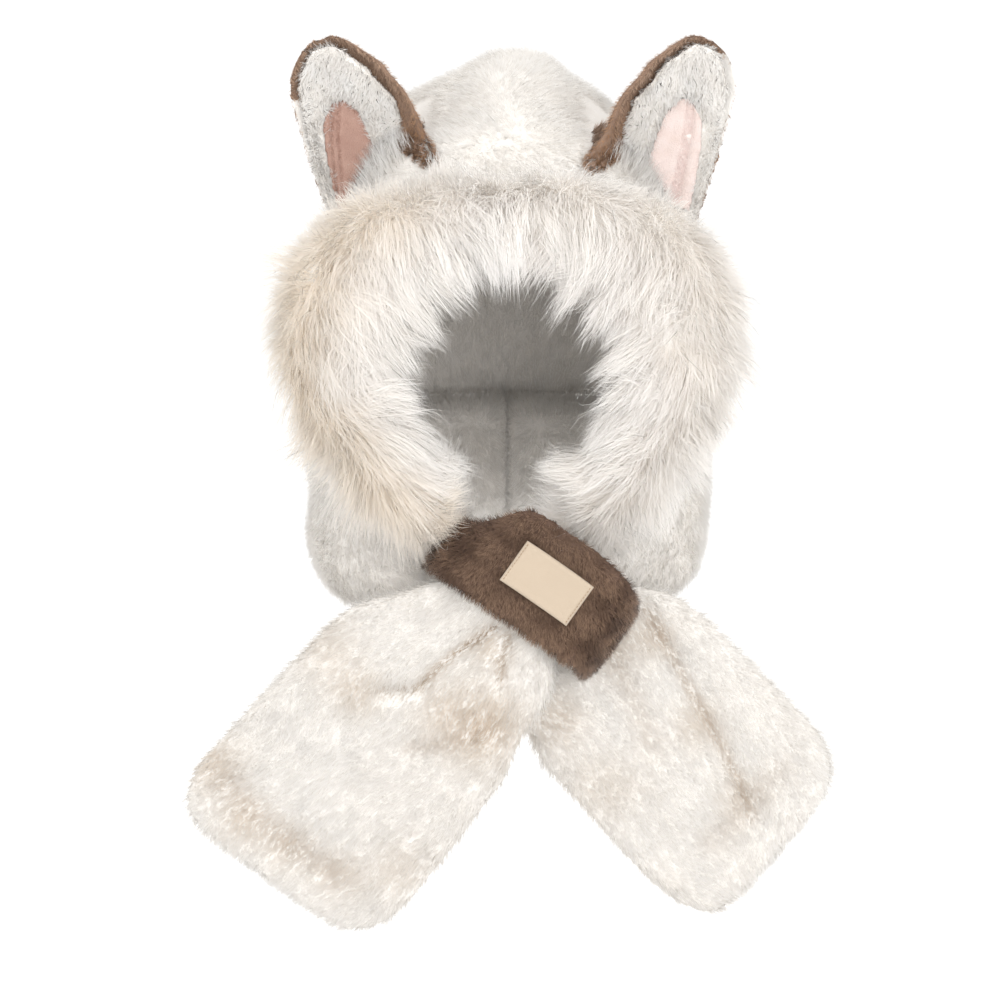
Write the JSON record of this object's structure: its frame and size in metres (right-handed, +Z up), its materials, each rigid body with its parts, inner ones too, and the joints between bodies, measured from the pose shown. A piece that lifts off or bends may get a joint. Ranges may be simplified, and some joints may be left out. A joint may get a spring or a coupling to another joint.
{
  "type": "animal hood scarf",
  "caption": "Plush hood with animal ears and a deep fur edge round the face, joined to a padded scarf that crosses through a keeper band with a bare woven label.",
  "frame": {"origin": "inside of the crown, where the top of the head touches it", "axes": "+Z up, -Y the way the face looks, +X the wearer's left"},
  "size_m": [0.4224, 0.2923, 0.5736],
  "materials": {
    "white_plush": "short dense pile",
    "long_pile_fur": "long soft pile",
    "brown_plush": "short dense pile",
    "pink_velour": "short velour pile",
    "cream_ribbon": "woven satin"
  },
  "bodies": {
    "root": {"hood_shell": "white_plush", "face_trim": "long_pile_fur", "scarf_over": "white_plush", "scarf_under": "white_plush", "keeper_band": "brown_plush", "label": "cream_ribbon", "ear_left_back": "brown_plush", "ear_left_front": "white_plush", "ear_left_inner": "pink_velour", "ear_right_back": "brown_plush", "ear_right_front": "white_plush", "ear_right_inner": "pink_velour"}
  },
  "joints": []
}
